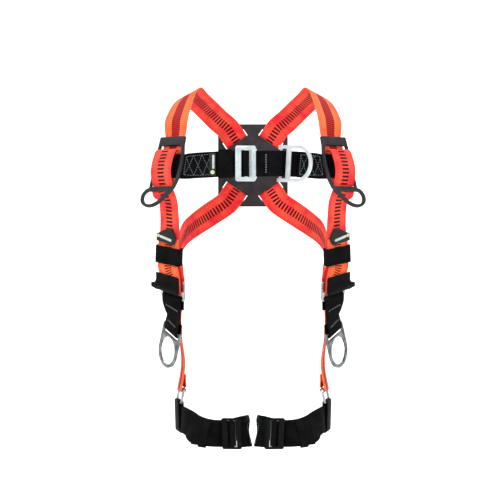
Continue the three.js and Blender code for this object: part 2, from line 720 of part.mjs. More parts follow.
function buckleLinkGeometry() {
  const link = slottedPlateGeometry(
    [-15.8, 18.6, -27, 27],
    [[-11.3, 5.6, -23.4, 23.4], [9.4, 14.4, -23.4, 23.4]],
    3,
    BUCKLE_LINK_THICKNESS,
  );
  return link.translate(-LINK_PIVOT[0], 0, 0).rotateZ(LINK_TILT).translate(...LINK_PIVOT, 0);
}

function chestTagGeometry() {
  const { halfWidth, halfHeight, thickness } = CHEST_TAG;
  return plate(roundedRectangle(THREE.Shape, -halfWidth, halfWidth, -halfHeight, halfHeight, 1.5), thickness);
}

const orange = webbingMaterial(COLOURS.orange);
const red = webbingMaterial(COLOURS.red);
const black = webbingMaterial(COLOURS.black);
const elastic = webbingMaterial(COLOURS.elastic);
const charcoal = plasticMaterial(COLOURS.charcoal);
const tagPlastic = plasticMaterial(COLOURS.tag);
const zinc = metalMaterial(COLOURS.zinc);
const steel = metalMaterial(COLOURS.steel);

// A shoulder strap from its lanyard keeper, over the dorsal plate, to the hip ring of the other side.
function wholeShoulderRoute(lift) {
  return [...shoulderRoute, ...dorsalCrossing(lift), ...mirrorRoute(rearRoute)];
}

const rightShoulderRoute = wholeShoulderRoute(RIGHT_STRAP_LIFT);
const leftShoulderRoute = mirrorRoute(wholeShoulderRoute(LEFT_STRAP_LIFT));
addPiece("shoulder_strap_right", ribbon(rightShoulderRoute), orange);
addPiece("shoulder_strap_left", ribbon(leftShoulderRoute), orange);
addStrapPair("front_strap", frontRoute, WEBBING_WIDTH, red);
addStrapPair("side_connector", connectorRoute, WEBBING_WIDTH, black);
addStrapPair("leg_strap", legStrapRoute, WEBBING_WIDTH, black);

addHardwarePair("lanyard_keeper", keeperFrame, keeperGeometry(), charcoal);
addHardwarePair("elastic_keeper", elasticFrame, elasticKeeperGeometry(), elastic);
addHardwarePair("strap_end_tab", tabFrame, endTabGeometry(), tagPlastic);
addHardwarePair("adjuster_frame", adjusterFrame, adjusterFrameGeometry(), steel);
addHardwarePair("adjuster_grip", adjusterFrame, adjusterGripGeometry(), charcoal);
addHardwarePair("side_ring", sideRingFrame, ringGeometry(SIDE_RING), steel);
addHardwarePair("hip_ring", hipFrame, hipRingGeometry(), steel);
addHardwarePair("hip_loop", hipLoopFrame, hipLoopGeometry(), black);
addHardwarePair("leg_buckle_plate", legBuckleFrame, bucklePlateGeometry(LEG_BUCKLE_PLATE), charcoal);
addHardwarePair("leg_buckle_link", legBuckleFrame, buckleLinkGeometry(), zinc);
const legKeeper = buckleSleeveGeometry(LEG_KEEPER_LENGTH).translate(-5, 5.4, 0);
addHardwarePair("leg_keeper", legKeeperFrame, legKeeper, elastic);

addPiece("chest_strap_right", ribbon([...chestRightRoute, ...turnedOver(chestBuckleTail)]), black);
addPiece("chest_strap_left", ribbon(chestLeftRoute), black);
addPiece("chest_strap_centre", ribbon(chestCentreRoute), black);
const chestSleeve = buckleSleeveGeometry(CHEST_SLEEVE_LENGTH).translate(-49, 9.3, 0);
addHardware(chestFrame, "chest_sleeve", chestSleeve, elastic);
addHardware(chestFrame, "chest_buckle_plate", bucklePlateGeometry(CHEST_BUCKLE_PLATE), zinc);
addHardware(chestFrame, "chest_buckle_link", buckleLinkGeometry(), zinc);
addHardware(chestRingFrame, "chest_ring", ringGeometry(CHEST_RING), zinc);

addHardware(tagFrame, "chest_tag", chestTagGeometry(), tagPlastic);
addHardware(dorsalFrame, "dorsal_plate", dorsalPlateGeometry(), charcoal);
addHardware(dorsalRingFrame, "dorsal_ring", ringGeometry(DORSAL_RING), steel);

export default harness;
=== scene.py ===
# Full-body safety harness: webbing, stitching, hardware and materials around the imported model.
# Lengths in the route tables are millimetres, as the object was designed, and are scaled to metres when a
# mesh is made. Sizes inside a material and the widths of bevels are metres.
import math

import bmesh
import bpy
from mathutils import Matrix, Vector
from mathutils.geometry import tessellate_polygon

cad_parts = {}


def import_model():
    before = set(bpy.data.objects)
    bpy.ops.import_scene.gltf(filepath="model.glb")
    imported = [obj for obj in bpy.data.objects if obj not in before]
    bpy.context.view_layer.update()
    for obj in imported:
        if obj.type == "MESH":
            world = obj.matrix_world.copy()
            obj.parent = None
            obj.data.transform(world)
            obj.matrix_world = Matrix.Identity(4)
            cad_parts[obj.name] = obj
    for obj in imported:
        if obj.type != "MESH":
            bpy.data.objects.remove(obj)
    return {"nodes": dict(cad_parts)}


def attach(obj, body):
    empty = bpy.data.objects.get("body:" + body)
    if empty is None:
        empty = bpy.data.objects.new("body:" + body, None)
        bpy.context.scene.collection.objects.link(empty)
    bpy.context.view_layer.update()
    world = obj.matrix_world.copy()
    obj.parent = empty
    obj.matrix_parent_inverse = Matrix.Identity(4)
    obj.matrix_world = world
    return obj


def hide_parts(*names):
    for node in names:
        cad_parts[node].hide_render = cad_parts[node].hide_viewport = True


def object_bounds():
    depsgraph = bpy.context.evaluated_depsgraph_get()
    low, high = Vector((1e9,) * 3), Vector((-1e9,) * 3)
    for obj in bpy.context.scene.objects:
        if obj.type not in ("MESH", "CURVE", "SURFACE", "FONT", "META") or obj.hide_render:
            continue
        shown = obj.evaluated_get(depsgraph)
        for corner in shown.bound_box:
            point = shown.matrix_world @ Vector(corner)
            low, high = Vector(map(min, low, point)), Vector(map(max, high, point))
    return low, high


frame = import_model()
cad_low, cad_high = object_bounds()

MM = 0.001
PI = math.pi

# Webbing and the way it folds round bars.
WEBBING_WIDTH = 45.0
WEBBING_THICKNESS = 2.0
FOLD_RADIUS = 4.2
FOLD_STEPS = 6
RIBBON_STEP = 2.5
FACE_COLUMNS = 10
EDGE_COLUMNS = 4
INNER_FACE_SHIFT = 0.1

# Patterns woven into the webbing, in metres.
HERRINGBONE_STRIPE = 0.0024
YARN_SPACING = 0.0013
EDGE_LINE_OFFSET = 0.0178
BAND_HALF_WIDTH = 0.0082
DASH_HALF_WIDTH = 0.0072
CLOSE_DASHES = 0.0043
WIDE_DASHES = 0.0066

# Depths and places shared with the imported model.
KEEPER_STRAP_DEPTH = 6.6
KEEPER_LEAF_DEPTH = 4.1
KEEPER_BACK_LEAF_DEPTH = 9.1
ADJUSTER_LOWER_BAR_DROP = -18
DORSAL_CENTRE = (0, 119.5, -125)
DORSAL_STRAP_ANGLE = 0.6
DORSAL_RING_LIFT = 6.8
DORSAL_RING_TILT = 0.7
LINK_FOLD = (16.4, 7.2)
CHEST_RING_LIFT = 0.76
RIGHT_STRAP_LIFT = 13.8
LEFT_STRAP_LIFT = 10.8

# Rings: a bar that the webbing hides, a bar that shows, and an eye, stamped in one plate.
RING_THICKNESS = 3.8
RING_BAR_HALF_HEIGHT = 1.9
RING_ARC_STEPS = 40
RING_BEVEL = 0.0016
BUCKLE_BEVEL = 0.0009
THIN_BEVEL = 0.0004
SIDE_RING_SHAPE = {"radius": 31.5, "rim": 6.5, "centre_drop": 39, "arm_top": 5.5, "slot_bottom": -9.5}
CHEST_RING_SHAPE = {"radius": 32, "rim": 6, "centre_drop": 41, "arm_top": 5.5, "slot_bottom": -14,
                    "eye_top": -22.5}
DORSAL_RING_SHAPE = {"radius": 42.5, "rim": 5.5, "centre_drop": 50, "arm_top": 4.4, "slot_bottom": -19,
                     "eye_top": -26}

# Room, light and camera, in metres and watts. The floor lies STAGE_DROP below the harness. The camera looks
# level along +y, a little above the middle of the harness.
STAGE_DROP = 0.16
WORLD_STRENGTH = 0.72
CAMERA_PLACE = (-0.0055, -3.0, -0.285)
CAMERA_LENS = 118.7
# Each area light: its place, the point it faces, its width and height, and its power.
LIGHTS = {
    "key": ((-1.3, -2.6, 1.5), (0, 0, -0.25), (1.4, 1.0), 60),
    "fill": ((1.9, -2.2, 0.5), (0, 0, -0.3), (1.6, 1.6), 22),
    "backdrop": ((0, 2.2, 3.2), (0, 3.2, -0.8), (5.0, 3.0), 190),
}

SIDES = ("right", "left")


# ---------------------------------------------------------------- frames and routes

class Stand:
    """Axes that stand on a piece: x across the strap, y in towards the wearer, z up it."""

    def __init__(self, origin, across, up):
        self.origin = Vector(origin)
        self.x = Vector(across).normalized()
        up = Vector(up)
        self.z = (up - self.x * self.x.dot(up)).normalized()
        self.y = self.z.cross(self.x)

    def direction(self, x, y, z):
        return self.x * x + self.y * y + self.z * z

    def point(self, x, y, z):
        return self.origin + self.direction(x, y, z)


KEEPER = Stand((-152, -98, -136), (0.81, -0.586, 0), (0.207, 0.285, 0.936))
ELASTIC = Stand((-149, -76, -294), (0.85, -0.5, -0.17), (0.031, -0.242, 0.97))
ADJUSTER = Stand((-144, -64, -351), (0.76, -0.61, -0.22), (0.02, -0.36, 0.93))
SIDE_RING = Stand((-145, -42, -430), (0.507, -0.77, -0.387), (0.213, -0.323, 0.922))
HIP = Stand((-132.4, 5, -550), (0.19, -0.98, 0), (0.2, 0.02, 0.98))
HIP_LOOP = Stand((-134.7, 4.8, -561.3), (0.19, -0.98, 0), (-0.03, 0, 1))
LEG_BUCKLE = Stand((-37, -91, -609), (0.93, 0.36, -0.05), (0.12, 0.3, 0.94))
LEG_KEEPER = Stand((-88, -93, -606.5), (0.94, -0.33, -0.09), (0.1, 0.45, 0.88))
TAB = Stand((-151.2, -90, -260.7), (0.85, -0.5, -0.17), (0.031, -0.242, 0.97))
CHEST = Stand((-12.2, -132, -134.5), (1, 0, 0), (0, 0, 1))
CHEST_RING = Stand((48, -129.5, -134.5), (0.05, 0, 1), (-0.72, 0.69, -0.06))
CHEST_TAG = Stand((-71, -128.6, -136), (1, -0.1, 0), (0, 0, 1))
DORSAL = Stand(DORSAL_CENTRE, (-1, 0, 0), (0, 0, 1))
DORSAL_RING = Stand(
    (DORSAL_CENTRE[0], DORSAL_CENTRE[1] + DORSAL_RING_LIFT, DORSAL_CENTRE[2]),
    (-1, 0, 0),
    (0, -math.sin(DORSAL_RING_TILT), math.cos(DORSAL_RING_TILT)),
)


def local(stand, position, out=(0, -1, 0)):
    """A point of a route, given in a stand, with the direction in which the strap's outer face looks."""
    return stand.point(*position), stand.direction(*out)


def world(position, out):
    return Vector(position), Vector(out).normalized()


def mirrored(place):
    return Vector((-place[0], place[1], place[2]))


def mirror_route(route):
    return [(mirrored(at), mirrored(out)) for at, out in route]


def turned_over(route):
    return [(at, -out) for at, out in route]


def fold(stand, x, y, z, radius, start, end, facing):
    """Half a turn round a bar along the stand's x; angles run from +y towards +z."""
    points = []
    for step in range(FOLD_STEPS + 1):
        angle = start + (end - start) * step / FOLD_STEPS
        cosine, sine = math.cos(angle), math.sin(angle)
        place = (x, y + radius * cosine, z + radius * sine)
        points.append(local(stand, place, (0, cosine * facing, sine * facing)))
    return points


def upright_fold(stand, x, y, radius, start, end, facing):
    """Half a turn round a bar along the stand's z; angles run from +x towards +y."""
    points = []
    for step in range(FOLD_STEPS + 1):
        angle = start + (end - start) * step / FOLD_STEPS
        cosine, sine = math.cos(angle), math.sin(angle)
        place = (x + radius * cosine, y + radius * sine, 0)
        points.append(local(stand, place, (cosine * facing, sine * facing, 0)))
    return points


def dorsal_crossing(lift):
    """A shoulder strap's way slantwise across the dorsal plate, over the ring's bar at the given lift."""
    heights = [(-84, -4.2), (-69, -3.7), (-60, 0), (-51, 4.6), (-42, lift), (0, lift), (42, lift),
               (51, 4.6), (60, 0), (69, -3.7), (84, -4.2)]
    sine, cosine = math.sin(DORSAL_STRAP_ANGLE), math.cos(DORSAL_STRAP_ANGLE)
    return [local(DORSAL, (-along * sine, -height, -along * cosine)) for along, height in heights]


SHOULDER_ROUTE = [
    local(KEEPER, (0, KEEPER_STRAP_DEPTH, -36)),
    local(KEEPER, (0, KEEPER_STRAP_DEPTH, 0)),
    local(KEEPER, (0, KEEPER_STRAP_DEPTH, 30)),
    local(KEEPER, (0, 5.4, 46)),
    local(KEEPER, (0, 4.6, 60)),
    world((-136.7, -65, -56), (-0.3, -0.72, 0.62)),
    world((-130.9, -44, -33), (-0.33, -0.505, 0.74)),
    world((-123.5, -22, -13), (-0.4, -0.25, 0.85)),
    world((-113.8, 0, 0), (-0.463, 0, 0.886)),
    world((-102, 38, -9), (-0.42, 0.4, 0.81)),
    world((-84, 76, -24), (-0.28, 0.75, 0.6)),
    world((-64, 103, -42), (-0.1, 0.96, 0.28)),
]

REAR_ROUTE = [
    world((-82, 104, -219), (-0.35, 0.93, 0)),
    world((-108, 78, -238), (-0.75, 0.66, 0)),
    world((-126, 40, -256), (-0.95, 0.3, 0)),
    world((-133, 6, -280), (-1, 0, 0)),
    world((-129, -4, -322), (-0.99, -0.1, 0)),
    world((-131, -17, -362), (-0.95, -0.3, -0.06)),
    world((-137.5, -29, -396), (-0.86, -0.45, -0.2)),
    world((-138.5, -29, -424), (-0.86, -0.43, -0.25)),
    world((-131, -5, -454), (-0.97, -0.22, -0.08)),
    world((-127.5, 10, -490), (-0.98, -0.19, 0)),
    local(HIP, (0, -4.2, 32)),
    local(HIP, (0, -4.2, 18)),
    *fold(HIP, 0, 0, 11.5, FOLD_RADIUS, PI, 2 * PI, 1),
    local(HIP, (0, 3.4, 20)),
    local(HIP, (0, 0.2, 31)),
    local(HIP, (0, -1, 40)),
]

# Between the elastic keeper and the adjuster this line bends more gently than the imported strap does.
FRONT_ROUTE = [
    local(KEEPER, (0, 0.6, 27)),
    local(KEEPER, (0, -6, 27.5), (0, -0.4, 0.9)),
    local(KEEPER, (0, -11.5, 22.5)),
    local(KEEPER, (0, -13.6, 11)),
    local(KEEPER, (0, -14, -6)),
    local(KEEPER, (0, -10, -21)),
    local(KEEPER, (0, -2, -32)),
    local(KEEPER, (0, 4.2, -39.5)),
    local(KEEPER, (0, 4.8, -47)),
    world((-150.4, -101, -197), (-0.64, -0.74, -0.15)),
    world((-147.5, -93, -223), (-0.66, -0.73, -0.15)),
    world((-147, -88, -246), (-0.63, -0.75, -0.18)),
    local(ELASTIC, (0, 1.8, 27)),
    local(ELASTIC, (0, 1.8, 17)),
    local(ELASTIC, (0, 1.8, -20)),
    local(ADJUSTER, (1.5, 6.6, 18)),
    *fold(ADJUSTER, 1.5, 0, 0, FOLD_RADIUS, 0, -PI, -1),
    local(ADJUSTER, (1.5, -4.4, 18), (0, 1, 0)),
    local(ELASTIC, (0, -1.8, -20), (0, 1, 0)),
    local(ELASTIC, (0, -1.8, 17), (0, 1, 0)),
    local(TAB, (0, 4.4, -4), (0, 1, 0)),
]

CONNECTOR_ROUTE = [
    local(ADJUSTER, (1.5, 3.4, -40), (0, 1, 0)),
    local(ADJUSTER, (1.5, 4.2, -28), (0, 1, 0)),
    *fold(ADJUSTER, 1.5, 0, ADJUSTER_LOWER_BAR_DROP, FOLD_RADIUS, 0, PI, 1),
    local(ADJUSTER, (1.5, -4.2, -28)),
    local(SIDE_RING, (0, -4.2, 28)),
    local(SIDE_RING, (0, -4.2, 8)),
    *fold(SIDE_RING, 0, 0, 0, FOLD_RADIUS, PI, 2 * PI, 1),
    local(SIDE_RING, (0, 4.2, 10), (0, 1, 0)),
    local(SIDE_RING, (0, 3.4, 20), (0, 1, 0)),
]

# The webbing's way round the middle bar of a three-bar buckle plate, seen along the bar: pairs of a place and
# the outward direction there.
BUCKLE_ROLL = [
    ((-14, 7.9), (0, -1)),
    ((-8.6, 7.3), (-0.5, -0.87)),
    ((-5.4, 4.4), (-0.9, -0.4)),
    ((-4.7, 1), (-1, 0)),
    ((-4.3, -1.6), (-0.9, -0.4)),
    ((-2.7, -3.1), (-0.4, -0.9)),
    ((0, -3.4), (0, -1)),
    ((2.7, -3.1), (0.4, -0.9)),
    ((4.2, -1.6), (0.9, -0.4)),
    ((4.3, 1.5), (1, 0)),
    ((3.7, 5.2), (0.97, 0.26)),
    ((1.3, 8.8), (0.7, 0.7)),
    ((-3.2, 10.4), (0.1, 1)),
    ((-14, 10.5), (0, 1)),
]


def roll_through_buckle(stand):
    return [local(stand, (x, y, 0), (out_x, out_y, 0)) for (x, y), (out_x, out_y) in BUCKLE_ROLL]


LEAF_MIDDLE = (KEEPER_LEAF_DEPTH + KEEPER_BACK_LEAF_DEPTH) / 2
LEAF_RADIUS = (KEEPER_BACK_LEAF_DEPTH - KEEPER_LEAF_DEPTH) / 2

CHEST_RIGHT_ROUTE = [
    world((-68, -126.6, -135.8), (0, -1, 0)),
    world((-95, -122.2, -137), (-0.1, -1, 0)),
    local(KEEPER, (37, 5.4, 0)),
    local(KEEPER, (24, KEEPER_LEAF_DEPTH, 0)),
    local(KEEPER, (-22, KEEPER_LEAF_DEPTH, 0)),
    *upright_fold(KEEPER, -25.5, LEAF_MIDDLE, LEAF_RADIUS, 1.5 * PI, 0.5 * PI, 1),
    local(KEEPER, (-22, KEEPER_BACK_LEAF_DEPTH, 0), (0, 1, 0)),
    local(KEEPER, (24, KEEPER_BACK_LEAF_DEPTH, 0), (0, 1, 0)),
    world((-112, -112.6, -138), (0.3, 0.95, 0)),
    world((-95, -118.6, -137), (0.2, 1, 0)),
    world((-72, -122.6, -136), (0.1, 1, 0)),
    *turned_over([
        local(CHEST, (-40, 7.9, 0)),
        *roll_through_buckle(CHEST),
        local(CHEST, (-44, 10.6, 0), (0, 1, 0)),
    ]),
]

CHEST_CENTRE_ROUTE = [
    local(CHEST, (40, 5.4, 0), (0, 1, 0)),
    local(CHEST, (28, 8.8, 0), (0.2, 1, 0)),
    *upright_fold(CHEST, *LINK_FOLD, FOLD_RADIUS, 0.5 * PI, 1.5 * PI, 1),
    local(CHEST, (28, 2.8, 0)),
    local(CHEST, (42, 0.6, 0)),
    *fold(CHEST_RING, 0, 0, 0, FOLD_RADIUS, PI + CHEST_RING_LIFT, 2 * PI + CHEST_RING_LIFT, 1),
    local(CHEST, (50, 6.2, 0), (0, 1, 0)),
]

CHEST_LEFT_ROUTE = mirror_route([
    world((-40, -122.6, -134.5), (0, 1, 0)),
    world((-72, -121.4, -135), (0.1, 1, 0)),
    world((-95, -118, -136.5), (0.2, 1, 0)),
    world((-112, -112.6, -138), (0.3, 0.95, 0)),
    local(KEEPER, (24, KEEPER_BACK_LEAF_DEPTH, 0), (0, 1, 0)),
    local(KEEPER, (-22, KEEPER_BACK_LEAF_DEPTH, 0), (0, 1, 0)),
    *upright_fold(KEEPER, -25.5, LEAF_MIDDLE, LEAF_RADIUS, 0.5 * PI, 1.5 * PI, 1),
    local(KEEPER, (-22, KEEPER_LEAF_DEPTH, 0)),
    local(KEEPER, (24, KEEPER_LEAF_DEPTH, 0)),
    local(KEEPER, (37, 5.4, 0)),
    world((-95, -121.6, -136.8), (-0.1, -1, 0)),
    world((-78, -123.8, -135.8), (0, -1, 0)),
])


def leg_keeper_pass(depth):
    return [local(LEG_KEEPER, (along, depth, 0)) for along in (-11, -4, 4, 11)]


LEG_ROUTE = [
    local(LEG_BUCKLE, (30, 12, 0), (0, 1, 0)),
    local(LEG_BUCKLE, (24, 11.4, 0), (0, 1, 0)),
    *upright_fold(LEG_BUCKLE, *LINK_FOLD, FOLD_RADIUS, 0.5 * PI, 1.5 * PI, 1),
    local(LEG_BUCKLE, (25, 3, 0)),
    local(LEG_BUCKLE, (33, 5.5, 0), (0.4, -0.9, 0)),
    world((-8.4, -52, -609), (0.98, -0.1, -0.1)),
    world((-8, -15, -608), (1, 0, 0)),
    world((-9, 15, -609), (1, 0, 0)),
    world((-14, 45, -613), (0.92, 0.38, 0.1)),
    world((-36, 75, -620), (0.4, 0.9, 0.3)),
    world((-68, 86, -623), (-0.1, 1, 0.4)),
    world((-102, 68, -616), (-0.65, 0.75, 0.35)),
    world((-130.5, 45, -597), (-0.93, 0.35, 0.12)),
    local(HIP_LOOP, (-23, 0, -26.6)),
    local(HIP_LOOP, (23, 0, -26.6)),
    world((-124, -42, -589.5), (-0.88, -0.4, 0.2)),
    world((-109, -66, -596.5), (-0.66, -0.66, 0.3)),
    *leg_keeper_pass(4.4),
    local(LEG_BUCKLE, (-26, 7.9, 0)),
    *roll_through_buckle(LEG_BUCKLE),
    local(LEG_BUCKLE, (-26, 10.7, 0), (0, 1, 0)),
    *reversed(turned_over(leg_keeper_pass(7.1))),
    local(LEG_KEEPER, (-20, 7.1, 0), (0, 1, 0)),
]


# ---------------------------------------------------------------- ribbons of webbing

def catmull_rom(points, position):
    """Centripetal Catmull-Rom through the points; position counts whole points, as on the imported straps."""
    last = len(points) - 1
    index = min(int(position), last - 1)
    weight = position - index
    before = points[index - 1] if index > 0 else points[0] * 2 - points[1]
    after = points[index + 2] if index + 2 <= last else points[last] * 2 - points[last - 1]
    p0, p1, p2, p3 = before, points[index], points[index + 1], after
    t1 = max((p1 - p0).length ** 0.5, 1e-4)
    t2 = max((p2 - p1).length ** 0.5, 1e-4)
    t3 = max((p3 - p2).length ** 0.5, 1e-4)
    start = ((p1 - p0) / t1 - (p2 - p0) / (t1 + t2) + (p2 - p1) / t2) * t2
    end = ((p2 - p1) / t2 - (p3 - p1) / (t2 + t3) + (p3 - p2) / t3) * t2
    square, cube = weight * weight, weight ** 3
    return (p1 * (2 * cube - 3 * square + 1) + start * (cube - 2 * square + weight)
            + p2 * (3 * square - 2 * cube) + end * (cube - square))


class Ribbon:
    """A flat strap along a route. Each ring holds a centre, directions across and out, and how far along."""

    def __init__(self, route, width=WEBBING_WIDTH, thickness=WEBBING_THICKNESS):
        self.width, self.thickness = width, thickness
        points = [at for at, _ in route]
        outs = [out for _, out in route]
        positions = []
        for index in range(len(route) - 1):
            length = (points[index + 1] - points[index]).length
            steps = max(2, round(length / RIBBON_STEP))
            positions += [index + step / steps for step in range(steps)]
        positions.append(len(route) - 1)
        self.rings = []
        distance = 0.0
        previous = None
        for position in positions:
            centre = catmull_rom(points, position)
            step = 1e-3
            ahead = catmull_rom(points, min(position + step, len(route) - 1))
            behind = catmull_rom(points, max(position - step, 0))
            tangent = (ahead - behind).normalized()
            index = min(int(position), len(route) - 2)
            out = outs[index].lerp(outs[index + 1], position - index)
            across = tangent.cross(out).normalized()
            normal = across.cross(tangent).normalized()
            if previous is not None:
                distance += (centre - previous).length
            previous = centre
            self.rings.append((centre, across, normal, distance))
        self.length = distance

    def place(self, along, across, lift):
        """A point on the strap by its distance along, distance across and lift from the middle plane."""
        along = min(max(along, 0.0), self.length)
        for (c0, a0, n0, d0), (c1, a1, n1, d1) in zip(self.rings, self.rings[1:]):
            if along <= d1:
                weight = (along - d0) / max(d1 - d0, 1e-9)
                normal = n0.lerp(n1, weight).normalized()
                sideways = a0.lerp(a1, weight).normalized()
                return c0.lerp(c1, weight) + sideways * across + normal * lift
        raise ValueError("the place is past the strap's end")

    def profile(self):
        """The section's corners, once round: across, out, texture across, and whether on the inner face."""
        half, thick = self.width / 2, self.thickness / 2
        flat = half - thick
        corners = []
        for column in range(FACE_COLUMNS + 1):
            across = -flat + 2 * flat * column / FACE_COLUMNS
            corners.append((across, thick, across, False))
        for column in range(1, EDGE_COLUMNS):
            angle = PI / 2 - PI * column / EDGE_COLUMNS
            corners.append((flat + thick * math.cos(angle), thick * math.sin(angle), half, False))
        for column in range(FACE_COLUMNS + 1):
            across = flat - 2 * flat * column / FACE_COLUMNS
            corners.append((across, -thick, across, True))
        for column in range(1, EDGE_COLUMNS):
            angle = -PI / 2 - PI * column / EDGE_COLUMNS
            corners.append((-flat + thick * math.cos(angle), thick * math.sin(angle), -half, False))
        return corners

    def mesh(self, name):
        corners = self.profile()
        count = len(corners)
        vertices = []
        for centre, across, normal, _ in self.rings:
            for a, n, _, _ in corners:
                vertices.append((centre + across * a + normal * n) * MM)
        faces, coordinates = [], []
        for ring in range(len(self.rings) - 1):
            near, far = self.rings[ring][3] * MM, self.rings[ring + 1][3] * MM
            for side in range(count):
                following = (side + 1) % count
                faces.append((ring * count + side, ring * count + following,
                              (ring + 1) * count + following, (ring + 1) * count + side))
                inner = corners[side][3] and corners[following][3]
                shift = INNER_FACE_SHIFT if inner else 0.0
                left, right = corners[side][2] * MM + shift, corners[following][2] * MM + shift
                coordinates += [(left, near), (right, near), (right, far), (left, far)]
        for ring, order in ((0, -1), (len(self.rings) - 1, 1)):
            face = [ring * count + side for side in range(count)][::order]
            faces.append(face)
            along = self.rings[ring][3] * MM
            coordinates += [(WEBBING_WIDTH * MM, along)] * count
        mesh = bpy.data.meshes.new(name)
        mesh.from_pydata(vertices, [], faces)
        layer = mesh.uv_layers.new(name="webbing")
        for loop, (u, v) in zip(layer.data, coordinates):
            loop.uv = (u, v)
        fix_normals(mesh)
        mesh.shade_smooth()
        return mesh


def fix_normals(mesh):
    work = bmesh.new()
    work.from_mesh(mesh)
    bmesh.ops.recalc_face_normals(work, faces=work.faces)
    work.to_mesh(mesh)
    work.free()


def new_object(name, mesh, material, body, replaced=()):
    piece = bpy.data.objects.new(name, mesh)
    bpy.context.scene.collection.objects.link(piece)
    mesh.materials.append(material)
    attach(piece, body)
    if replaced:
        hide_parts(*replaced)


# ---------------------------------------------------------------- materials

def linear(red, green, blue):
    """A colour given in 0 to 255 as the eye sees it, as the linear light that shaders use."""
    values = [channel / 255 for channel in (red, green, blue)]
    return tuple(v / 12.92 if v <= 0.04045 else ((v + 0.055) / 1.055) ** 2.4 for v in values) + (1.0,)


class Nodes:
    """Short ways to make and join shader nodes in one material."""

    def __init__(self, name):
        self.material = bpy.data.materials.new(name)
        self.material.use_nodes = True
        self.tree = self.material.node_tree
        self.shader = self.tree.nodes["Principled BSDF"]

    def join(self, source, socket):
        if isinstance(source, (int, float, tuple)):
            socket.default_value = source
        else:
            self.tree.links.new(source, socket)

    def math(self, operation, first, second=0.0):
        node = self.tree.nodes.new("ShaderNodeMath")
        node.operation = operation
        for socket, source in zip(node.inputs, (first, second)):
            self.join(source, socket)
        return node.outputs[0]

    def step(self, value, low, high, soft_low=0.0, soft_high=1.0):
        node = self.tree.nodes.new("ShaderNodeMapRange")
        node.interpolation_type = "SMOOTHSTEP"
        self.join(value, node.inputs["Value"])
        node.inputs["From Min"].default_value = low
        node.inputs["From Max"].default_value = high
        node.inputs["To Min"].default_value = soft_low
        node.inputs["To Max"].default_value = soft_high
        return node.outputs["Result"]

    def mix(self, factor, first, second):
        node = self.tree.nodes.new("ShaderNodeMix")
        node.data_type = "RGBA"
        self.join(factor, node.inputs[0])
        self.join(first, node.inputs[6])
        self.join(second, node.inputs[7])
        return node.outputs[2]

    def uv(self):
        node = self.tree.nodes.new("ShaderNodeUVMap")
        node.uv_map = "webbing"
        split = self.tree.nodes.new("ShaderNodeSeparateXYZ")
        self.tree.links.new(node.outputs[0], split.inputs[0])
        return split.outputs[0], split.outputs[1]

    def noise(self, scale, detail, stretch=(1, 1, 1)):
        place = self.tree.nodes.new("ShaderNodeTexCoord")
        mapping = self.tree.nodes.new("ShaderNodeMapping")
        mapping.inputs["Scale"].default_value = stretch
        node = self.tree.nodes.new("ShaderNodeTexNoise")
        node.inputs["Scale"].default_value = scale
        node.inputs["Detail"].default_value = detail
        self.tree.links.new(place.outputs["Object"], mapping.inputs[0])
        self.tree.links.new(mapping.outputs[0], node.inputs["Vector"])
        return node.outputs["Fac"]

    def bump(self, height, distance):
        node = self.tree.nodes.new("ShaderNodeBump")
        node.inputs["Strength"].default_value = 1.0
        node.inputs["Distance"].default_value = distance
        self.join(height, node.inputs["Height"])
        self.tree.links.new(node.outputs[0], self.shader.inputs["Normal"])

    def finish(self, colour, roughness, metallic=0.0, sheen=0.0, specular=0.5):
        self.join(colour, self.shader.inputs["Base Color"])
        self.join(roughness, self.shader.inputs["Roughness"])
        self.shader.inputs["Metallic"].default_value = metallic
        self.shader.inputs["Sheen Weight"].default_value = sheen
        self.shader.inputs["Specular IOR Level"].default_value = specular
        return self.material


# The deep tones serve for random mottle, and on the dashed faces also for painted shade near the edges.
ORANGE = linear(255, 116, 66)
ORANGE_DEEP = linear(244, 92, 56)
BAND_RED = linear(200, 36, 28)
BAND_DASH = linear(116, 14, 18)
FACE_RED = linear(255, 84, 64)
FACE_RED_DEEP = linear(236, 46, 54)
DASH_BLACK = linear(52, 8, 14)
DOT_RED = linear(208, 34, 44)
BLACK = linear(8, 8, 9)
BLACK_RIB = linear(17, 17, 19)


def near(nodes, value, centre, half_width, soft):
    """1 where the value is within half_width of centre, falling to 0 over soft."""
    distance = nodes.math("ABSOLUTE", nodes.math("SUBTRACT", value, centre))
    return nodes.step(distance, half_width - soft, half_width + soft, 1.0, 0.0)


def repeat(nodes, value, period):
    """How far the value is through its period, from 0 to 1."""
    return nodes.math("FRACT", nodes.math("DIVIDE", value, period))


def weave_height(nodes, across, along):
    """Rows of yarn that lean one way and then the other in narrow stripes, as in herringbone webbing."""
    stripe = nodes.math("PINGPONG", across, HERRINGBONE_STRIPE)
    leaning = nodes.math("ADD", along, nodes.math("MULTIPLY", stripe, 0.9))
    rows = nodes.math("SINE", nodes.math("MULTIPLY", leaning, 2 * PI / YARN_SPACING))
    ribs = nodes.math("SINE", nodes.math("MULTIPLY", across, 2 * PI / HERRINGBONE_STRIPE))
    return nodes.math("ADD", nodes.math("MULTIPLY", rows, 0.6), nodes.math("MULTIPLY", ribs, 0.4))


def orange_face(nodes, across, along, mottle):
    """Orange with a dark red middle band that holds a ladder of darker dashes."""
    base = nodes.mix(mottle, ORANGE_DEEP, ORANGE)
    lines = near(nodes, nodes.math("ABSOLUTE", across), EDGE_LINE_OFFSET, 0.0008, 0.0004)
    base = nodes.mix(nodes.math("MULTIPLY", lines, 0.35), base, BAND_RED)
    dash = near(nodes, repeat(nodes, along, CLOSE_DASHES), 0.5, 0.27, 0.06)
    middle = nodes.mix(dash, BAND_RED, BAND_DASH)
    return nodes.mix(near(nodes, across, 0.0, BAND_HALF_WIDTH, 0.0004), base, middle)


